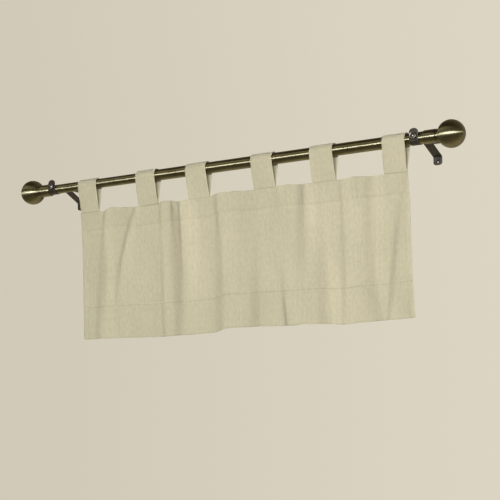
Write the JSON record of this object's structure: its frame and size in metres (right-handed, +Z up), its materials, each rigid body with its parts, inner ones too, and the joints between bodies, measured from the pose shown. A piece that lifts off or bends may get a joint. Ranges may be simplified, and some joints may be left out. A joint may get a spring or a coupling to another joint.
{
  "type": "tab top valance on a curtain rod",
  "caption": "Short plain cotton valance hung by cloth tabs from a telescoping metal curtain rod with ball finials and wall brackets",
  "frame": {"origin": "on the wall's face, at the height of the rod's axis, midway between the two brackets", "axes": "+X along the rod to the right as seen from the room, +Y into the wall, +Z up"},
  "size_m": [1.174, 0.1268, 0.401],
  "materials": {
    "cloth": "matt plain-woven cotton, natural khaki",
    "rod_metal": "dark antique brass, brushed round the rod and lacquered",
    "bracket_metal": "dark bronze, satin",
    "screw_metal": "dark bronze, semi-gloss"
  },
  "bodies": {
    "root": {"valance_panel": "cloth", "tab_1": "cloth", "tab_2": "cloth", "tab_3": "cloth", "tab_4": "cloth", "tab_5": "cloth", "tab_6": "cloth", "outer_tube": "rod_metal", "inner_tube": "rod_metal", "collar_left": "rod_metal", "collar_right": "rod_metal", "ball_left": "rod_metal", "ball_right": "rod_metal", "bracket_left": "bracket_metal", "bracket_right": "bracket_metal", "brace_left": "bracket_metal", "brace_right": "bracket_metal", "thumb_screw_left": "screw_metal", "thumb_screw_right": "screw_metal", "wall_screw_left_upper": "screw_metal", "wall_screw_left_lower": "screw_metal", "wall_screw_right_upper": "screw_metal", "wall_screw_right_lower": "screw_metal"}
  },
  "joints": []
}
